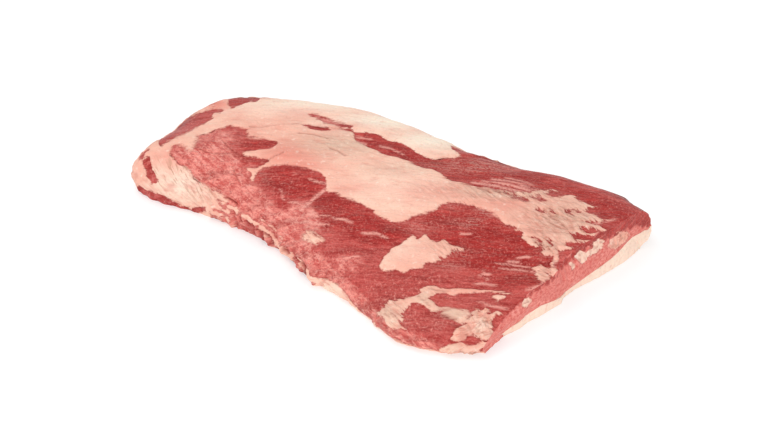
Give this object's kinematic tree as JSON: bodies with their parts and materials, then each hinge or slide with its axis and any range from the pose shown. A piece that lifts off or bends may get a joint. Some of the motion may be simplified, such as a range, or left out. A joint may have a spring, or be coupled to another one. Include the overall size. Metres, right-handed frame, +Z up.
{
  "type": "raw beef brisket",
  "caption": "Whole raw beef brisket with a rounded thick end, a slanted sliced end, thin fat on the lean and a fat layer beneath that rolls over one long side.",
  "frame": {"origin": "middle of the bounding box in X and Y, on the flat underside that the piece lies on", "axes": "+X along the piece towards its sliced end, +Y towards the side where the fat rolls over the top, +Z up"},
  "size_m": [0.5142, 0.287, 0.0651],
  "materials": {
    "lean": "moist, satin",
    "fat_cap": "waxy, satin"
  },
  "bodies": {
    "root": {"lean": "lean", "fat_cap": "fat_cap"}
  },
  "joints": []
}
